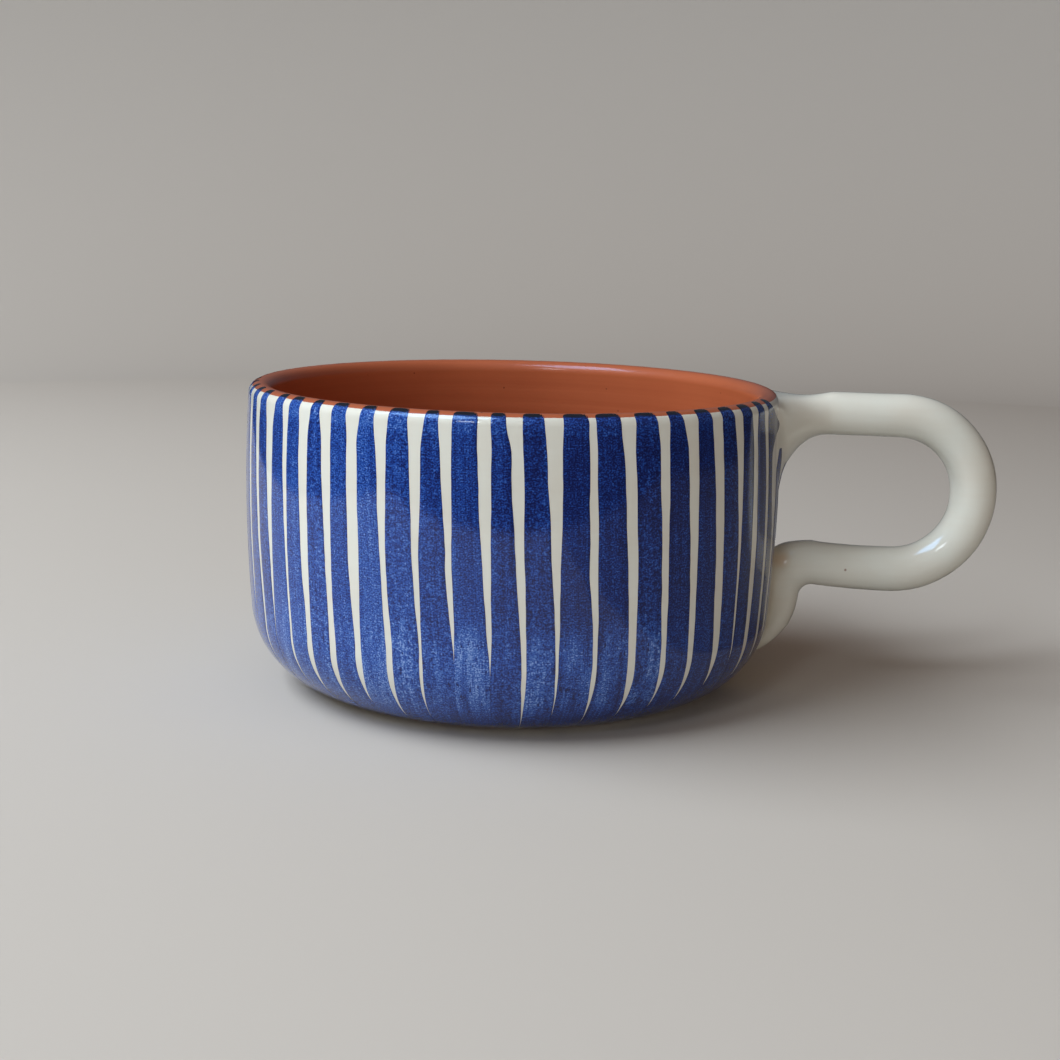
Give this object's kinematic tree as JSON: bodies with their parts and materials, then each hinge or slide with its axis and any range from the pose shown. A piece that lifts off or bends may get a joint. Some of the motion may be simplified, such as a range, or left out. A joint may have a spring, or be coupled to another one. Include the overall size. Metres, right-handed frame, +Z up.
{
  "type": "soup mug",
  "caption": "Wide, low hand-thrown earthenware soup mug: red clay bowl, cream slip outside with upright cobalt brush strokes, and a pulled loop handle.",
  "frame": {"origin": "on the bowl's axis, in the plane of the foot", "axes": "+Z up along the bowl's axis; +X towards the handle"},
  "size_m": [0.1851, 0.1302, 0.0735],
  "materials": {
    "red_clay": "red earthenware under clear gloss glaze",
    "cream_slip": "cream slip under clear gloss glaze",
    "cobalt": "brushed cobalt under clear gloss glaze"
  },
  "bodies": {
    "root": {"clay_bowl": "red_clay", "cream_slip": "cream_slip", "handle": "cream_slip", "brush_stroke_01": "cobalt", "brush_stroke_02": "cobalt", "brush_stroke_03": "cobalt", "brush_stroke_04": "cobalt", "brush_stroke_05": "cobalt", "brush_stroke_06": "cobalt", "brush_stroke_07": "cobalt", "brush_stroke_08": "cobalt", "brush_stroke_09": "cobalt", "brush_stroke_10": "cobalt", "brush_stroke_11": "cobalt", "brush_stroke_12": "cobalt", "brush_stroke_13": "cobalt", "brush_stroke_14": "cobalt", "brush_stroke_15": "cobalt", "brush_stroke_16": "cobalt", "brush_stroke_17": "cobalt", "brush_stroke_18": "cobalt", "brush_stroke_19": "cobalt", "brush_stroke_20": "cobalt", "brush_stroke_21": "cobalt", "brush_stroke_22": "cobalt", "brush_stroke_23": "cobalt", "brush_stroke_24": "cobalt", "brush_stroke_25": "cobalt", "brush_stroke_26": "cobalt", "brush_stroke_27": "cobalt", "brush_stroke_28": "cobalt", "brush_stroke_29": "cobalt", "brush_stroke_30": "cobalt", "brush_stroke_31": "cobalt", "brush_stroke_32": "cobalt", "brush_stroke_33": "cobalt", "brush_stroke_34": "cobalt", "brush_stroke_35": "cobalt", "brush_stroke_36": "cobalt", "brush_stroke_37": "cobalt", "brush_stroke_38": "cobalt", "brush_stroke_39": "cobalt", "brush_stroke_40": "cobalt", "brush_stroke_41": "cobalt", "brush_stroke_42": "cobalt", "brush_stroke_43": "cobalt", "brush_stroke_44": "cobalt", "brush_stroke_45": "cobalt", "brush_stroke_46": "cobalt", "brush_stroke_47": "cobalt", "brush_stroke_48": "cobalt", "brush_stroke_49": "cobalt", "brush_stroke_50": "cobalt", "brush_stroke_51": "cobalt", "brush_stroke_52": "cobalt"}
  },
  "joints": []
}
